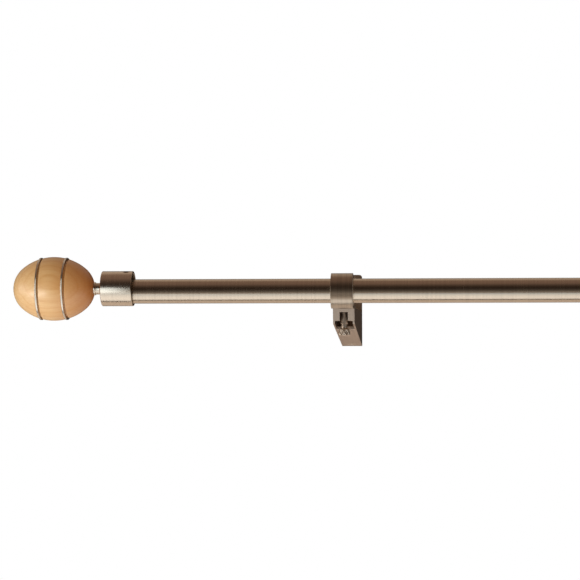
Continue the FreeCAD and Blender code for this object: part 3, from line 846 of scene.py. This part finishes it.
def build_clamp_screw(side):
    """Thumb screw: a head with crossed ridges, a cross recess below and a threaded shank."""
    node = side + "_clamp_screw"
    low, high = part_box(node)
    centre = middle(node)
    head_radius = (high.x - low.x) / 2
    head_top = low.z + CLAMP_HEAD_SPAN
    head_rows = clamp_head_rows(low.z, head_top, head_radius)
    rows, thread = threaded(CLAMP_RADIUS, CLAMP_PITCH, head_top + THREAD_START, high.z)

    def ripple(angle, along, reach):
        if along > head_top + TINY or reach < head_radius - CLAMP_HEAD_CHAMFER - TINY:
            return thread(angle, along, reach)
        climb = (along - low.z) / CLAMP_HEAD_SPAN
        ridge = 0.0
        for way in (-1, 1):
            phase = (angle / FULL_TURN * KNURL_RIDGES + way * climb) % 1.0
            ridge = max(ridge, 1 - min(1.0, abs(phase - 0.5) / KNURL_HALF_WIDTH))
        return reach - KNURL_DEPTH * (1 - ridge)

    # The plain length is a hair thinner than the thread, which keeps the ripple off it.
    plain = CLAMP_RADIUS - 0.02 * MM
    outline = [(low.z, 0)] + head_rows + [
        (head_top, CLAMP_NECK + 4 * FINE),
        (head_top + 5 * FINE, CLAMP_NECK),
        (head_top + NECK_END, CLAMP_NECK),
        (head_top + PLAIN_START, plain),
        (head_top + PLAIN_END, plain),
    ] + rows + [(high.z, 0)]
    stand = at(centre.x, centre.y, 0)
    screw = turn(node + "_made", outline, upright(stand), CLAMP_SEGMENTS,
                 closed=False, ripple=ripple)
    cross = cross_cutter(low.z - OVERCUT, low.z + CLAMP_CROSS_DEPTH, CLAMP_CROSS_HALF,
                         CLAMP_CROSS_WIDTH, stand)
    cut(screw, cross)
    carry(smooth(screw), node, screw_metal)


NUT_BORE = 2.56 * MM
NUT_CROWN = 0.7 * MM
NUT_EDGE = 0.12 * MM
CROWN_SEGMENTS = 72


def build_nut(side):
    """Square nut with its upper corners turned down."""
    node = side + "_clamp_nut"
    low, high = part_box(node)
    centre = middle(node)
    half = (high.x - low.x) / 2
    stand = at(centre.x, centre.y, 0)
    outline = [(-half, low.z), (half, low.z), (half, high.z), (-half, high.z)]
    nut = extrude(node + "_made", outline, 2 * half, stand)
    crown = turn("crown", [
        (low.z - OVERCUT, 0),
        (low.z - OVERCUT, 2 * half),
        (high.z - NUT_CROWN, half * math.sqrt(2)),
        (high.z, half * 1.02),
        (high.z, 0),
    ], upright(stand), CROWN_SEGMENTS, closed=False)
    cut(nut, crown, "INTERSECT")
    bore = turn("bore", [
        (low.z - OVERCUT, 0),
        (low.z - OVERCUT, NUT_BORE),
        (high.z + OVERCUT, NUT_BORE),
        (high.z + OVERCUT, 0),
    ], upright(stand), SCREW_SEGMENTS, closed=False)
    cut(nut, bore)
    carry(bevelled(nut, NUT_EDGE, 2), node, screw_metal)


# Rise of the arm's underside for each unit of depth towards the nose.
ARM_SLOPE = 0.164
ARM_SCREW_RADIUS = 2 * MM
ARM_SCREW_PITCH = 0.7 * MM
ARM_SCREW_HEAD = 3.6 * MM
ARM_SCREW_HEAD_DEPTH = 1.6 * MM
ARM_SCREW_SPAN = 11 * MM
ARM_SCREW_SEGMENTS = 64
ARM_CROSS_DEPTH = 1.2 * MM
ARM_CROSS_HALF = 2.3 * MM
ARM_CROSS_WIDTH = 1.0 * MM


def build_arm_screw(side):
    """Countersunk screw, square to the arm's underside, with a cross recess."""
    node = side + "_arm_screw"
    low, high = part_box(node)
    slope = math.atan(ARM_SLOPE)
    place = at((low.x + high.x) / 2,
               low.y + ARM_SCREW_HEAD * math.cos(slope),
               low.z + ARM_SCREW_HEAD * math.sin(slope)) @ Matrix.Rotation(-slope, 4, "X")
    rows, ripple = threaded(ARM_SCREW_RADIUS, ARM_SCREW_PITCH, ARM_SCREW_HEAD_DEPTH + 5 * FINE,
                            ARM_SCREW_SPAN)
    outline = [
        (0, 0),
        (0, ARM_SCREW_HEAD - FINE),
        (FINE, ARM_SCREW_HEAD),
        (2.5 * FINE, ARM_SCREW_HEAD),
        (ARM_SCREW_HEAD_DEPTH, ARM_SCREW_RADIUS),
    ] + rows + [(ARM_SCREW_SPAN, 0)]
    screw = turn(node + "_made", outline, upright(place), ARM_SCREW_SEGMENTS,
                 closed=False, ripple=ripple)
    cut(screw, cross_cutter(-OVERCUT, ARM_CROSS_DEPTH, ARM_CROSS_HALF, ARM_CROSS_WIDTH, place))
    carry(smooth(screw), node, screw_metal)


def build_bracket(side):
    build_ring(side)
    build_liner(side)
    build_clamp_screw(side)
    build_nut(side)
    build_arm_screw(side)
    for part, width in (("arm", ARM_EDGE), ("wall_plate", PLATE_EDGE)):
        node = "%s_%s" % (side, part)
        carry(bevelled(copied(node), width, 3, 25), node, bracket_metal)


build_rod()
for side, sign in SIDES.items():
    build_finial(side, sign)
    build_bracket(side)


# ------------------------------------------------------- floor, light, camera

rod_axis = middle("inner_tube")

FLOOR_CENTRE = (0.34, -0.096, -0.5)
FLOOR_RADIUS = 1.15
FLOOR_SEGMENTS = 96
FLOOR_GLOW = 0.75
# In reflections the floor fades to black between these depths from its centre.
CARD_FRONT = -1.0
CARD_BACK = -0.25


def build_floor():
    """A pale floor to the camera.

    In reflections it glows warmer, and its front fades to a black card that darkens the fronts of
    the clamp rings.
    """
    mesh = bpy.data.meshes.new("floor")
    work = bmesh.new()
    bmesh.ops.create_circle(work, cap_ends=True, segments=FLOOR_SEGMENTS, radius=FLOOR_RADIUS)
    work.to_mesh(mesh)
    work.free()
    floor = bpy.data.objects.new("floor", mesh)
    bpy.context.scene.collection.objects.link(floor)
    floor.location = FLOOR_CENTRE
    material, tree, shader = new_material("floor_paper")
    speckle = noise(tree, 900.0, 3.0)
    paper = ramp(tree, speckle, [(0.3, (0.62, 0.6, 0.57)), (0.7, (0.66, 0.64, 0.61))])
    shader.inputs["Roughness"].default_value = 0.9
    seen = add(tree, "LightPath").outputs["Is Camera Ray"]
    depth = add(tree, "SeparateXYZ", i0=add(tree, "TexCoord").outputs["Object"]).outputs[1]
    card = add(tree, "MapRange", Value=depth, From_Min=CARD_FRONT, From_Max=CARD_BACK,
               To_Min=1.0, To_Max=0.0).outputs[0]
    card = maths(tree, "MULTIPLY", card, maths(tree, "SUBTRACT", 1.0, seen))
    glow = blend(tree, seen, (0.62, 0.53, 0.46), (0.72, 0.71, 0.7))
    tree.links.new(blend(tree, card, paper, (0.06, 0.05, 0.045)), shader.inputs["Base Color"])
    tree.links.new(blend(tree, card, glow, (0.03, 0.025, 0.02)), shader.inputs["Emission Color"])
    shader.inputs["Emission Strength"].default_value = FLOOR_GLOW
    mesh.materials.append(material)


COOL = (0.76, 0.89, 1.0)
STRIP_MIDDLE = 0.3
STRIP_LENGTH = 2.6
STRIP_REACH = 0.40
STRIP_RADIANCE = 0.655
# Each strip fills the angles between these two under the horizon, in degrees.
STRIPS = {"upper_strip": (26, 57), "lower_strip": (57, 87)}
# Place, width, height, radiance and tint of each softbox.
SOFTBOXES = {
    "key_softbox": ((-1.0, -1.17, -0.16), 0.9, 0.9, 3.15, (0.97, 0.99, 1.0)),
    "side_softbox": ((-1.35, -0.32, -0.02), 0.5, 0.5, 3.2, (1.0, 0.99, 0.97)),
    "fill_softbox": ((0.55, -1.62, 0.75), 0.7, 0.7, 4.6, (1.0, 0.81, 0.54)),
    "sheen_softbox": ((-0.95, -1.02, -0.36), 1.1, 0.35, 6.5, (1.0, 1.0, 1.0)),
    "cup_softbox": ((-0.55, -1.12, -0.19), 0.5, 0.6, 2.2, COOL),
    "disc_softbox": ((-0.32, -0.82, 0.06), 0.25, 0.85, 0.95, (1.0, 0.97, 0.92)),
}
KNOB_X = -0.19
CUP_X = -0.14
FLAG_DROP = 0.41
FLAG_FRONT = -0.012
FLAG_BACK = 0.052
FLAG_THICKNESS = 0.002


def panel(name, place, width, height, radiance, tint):
    """A softbox that the camera doesn't see; radiance sets how bright its face is."""
    light = bpy.data.lights.new(name, "AREA")
    light.shape = "RECTANGLE"
    light.size = width
    light.size_y = height
    light.energy = radiance * math.pi * width * height
    light.color = tint
    made = bpy.data.objects.new(name, light)
    bpy.context.scene.collection.objects.link(made)
    made.location = place
    made.visible_camera = False
    return made


def softbox(name, target):
    made = panel(name, *SOFTBOXES[name])
    made.rotation_euler = (target - made.location).to_track_quat("-Z", "Y").to_euler()
    return made


def strip_box(name):
    """A long softbox below and in front of the rod."""
    start, end = (math.radians(angle) for angle in STRIPS[name])
    half = (end - start) / 2
    angle = start + half
    place = (STRIP_MIDDLE,
             rod_axis.y - STRIP_REACH * math.cos(angle),
             rod_axis.z - STRIP_REACH * math.sin(angle))
    height = 2 * STRIP_REACH * math.tan(half)
    made = panel(name, place, STRIP_LENGTH, height, STRIP_RADIANCE, COOL)
    made.rotation_euler = (QUARTER_TURN + angle, 0, 0)
    return made


def link_light(light, parts, state):
    """The light reaches only these parts of both ends, or all but these."""
    group = bpy.data.collections.new(light.name + "_pieces")
    for side in SIDES:
        for part in parts:
            group.objects.link(bpy.data.objects["%s_%s_made" % (side, part)])
    light.light_linking.receiver_collection = group
    for entry in group.collection_objects:
        entry.light_linking.link_state = state


def build_lights():
    wood = ("wood_tip", "wood_middle", "wood_base")
    knob = Vector((KNOB_X, rod_axis.y, rod_axis.z))
    cup = Vector((CUP_X, rod_axis.y, rod_axis.z))
    link_light(strip_box("upper_strip"), ("rod_ring", "wall_plate"), "EXCLUDE")
    link_light(strip_box("lower_strip"), ("wall_plate",), "EXCLUDE")

    softbox("key_softbox", knob).visible_glossy = False
    softbox("side_softbox", knob)
    fill = softbox("fill_softbox", knob)
    fill.visible_glossy = False
    link_light(fill, wood, "INCLUDE")
    sheen = softbox("sheen_softbox", knob)
    sheen.visible_diffuse = False
    link_light(sheen, wood, "INCLUDE")
    link_light(softbox("cup_softbox", cup), ("cup", "neck_collar"), "INCLUDE")
    link_light(softbox("disc_softbox", knob), ("inner_disc", "outer_disc"), "INCLUDE")


def build_flag():
    """A dark bar between the lower strip and the floor's back, seen only in reflections."""
    low = rod_axis.z - FLAG_DROP
    front = rod_axis.y + FLAG_FRONT
    back = rod_axis.y + FLAG_BACK
    high = low + FLAG_THICKNESS
    outline = [(front, low), (back, low), (back, high), (front, high)]
    flag = extrude("flag", outline, STRIP_LENGTH, at(STRIP_MIDDLE, 0, 0))
    material, _, shader = new_material("flag_cloth")
    shader.inputs["Base Color"].default_value = (0.02, 0.015, 0.01, 1)
    flag.data.materials.append(material)
    flag.visible_camera = False
    flag.visible_diffuse = False
    flag.visible_shadow = False


# Reflected background round the X axis: degrees from the front, positive upwards, and colour.
WORLD_STOPS = [
    (-180, (0.05, 0.037, 0.03)),
    (-160, (0.05, 0.037, 0.03)),
    (-145, (0.6, 0.5, 0.43)),
    (-30, (0.56, 0.5, 0.46)),
    (-20, (0.32, 0.28, 0.25)),
    (-8, (0.13, 0.11, 0.095)),
    (8, (0.05, 0.038, 0.03)),
    (20, (0.028, 0.018, 0.013)),
    (34, (0.035, 0.022, 0.016)),
    (50, (0.09, 0.06, 0.045)),
    (70, (0.2, 0.13, 0.1)),
    (105, (0.24, 0.16, 0.12)),
    (118, (0.45, 0.35, 0.28)),
    (148, (0.5, 0.42, 0.35)),
    (162, (0.05, 0.037, 0.03)),
    (180, (0.05, 0.037, 0.03)),
]


def build_world():
    """White to the camera; in reflections, WORLD_STOPS with a pale left and a dark right end."""
    world = bpy.data.worlds.new("studio")
    bpy.context.scene.world = world
    world.use_nodes = True
    tree = world.node_tree
    tree.nodes.clear()
    parts = add(tree, "SeparateXYZ", i0=add(tree, "TexCoord").outputs["Generated"]).outputs
    front = maths(tree, "MULTIPLY", parts[1], -1.0)
    angle = maths(tree, "ARCTAN2", parts[2], front)
    turn_share = maths(tree, "MULTIPLY_ADD", angle, 1 / FULL_TURN)
    stops = [((degrees + 180) / 360, shade) for degrees, shade in WORLD_STOPS]
    around = ramp(tree, turn_share, stops)
    sideways = ramp(tree, maths(tree, "ABSOLUTE", parts[0]), [(0.55, BLACK), (0.95, WHITE)])
    from_left = maths(tree, "MULTIPLY_ADD", parts[0], 0.5)
    ends = ramp(tree, from_left, [(0.0, (0.3, 0.24, 0.19)), (1.0, (0.035, 0.024, 0.018))])
    room = blend(tree, sideways, around, ends)
    seen = add(tree, "LightPath").outputs["Is Camera Ray"]
    shade = blend(tree, seen, room, WHITE)
    background = add(tree, "Background", Color=shade)
    output = add(tree, "OutputWorld")
    tree.links.new(background.outputs[0], output.inputs[0])


FOCAL_PIXELS = 1957.0
FRAME_PIXELS = 580
CAMERA_X = 0.072
CAMERA_DISTANCE = 1.2735
CAMERA_RISE = 0.00065
CAMERA_YAW = math.radians(4.764)
CAMERA_ROLL = math.radians(0.18)


def build_camera():
    camera = bpy.data.cameras.new("camera")
    made = bpy.data.objects.new("camera", camera)
    bpy.context.scene.collection.objects.link(made)
    camera.sensor_width = 36.0
    camera.lens = FOCAL_PIXELS / FRAME_PIXELS * camera.sensor_width
    camera.clip_start = 0.01
    camera.clip_end = 50
    made.location = (CAMERA_X, rod_axis.y - CAMERA_DISTANCE, rod_axis.z + CAMERA_RISE)
    made.rotation_mode = "QUATERNION"
    turned = Matrix.Rotation(CAMERA_YAW, 3, "Z") @ Matrix.Rotation(QUARTER_TURN, 3, "X")
    made.rotation_quaternion = (turned @ Matrix.Rotation(-CAMERA_ROLL, 3, "Z")).to_quaternion()
    bpy.context.scene.camera = made


build_floor()
build_lights()
build_flag()
build_world()
build_camera()
bpy.context.scene.view_settings.view_transform = "Standard"
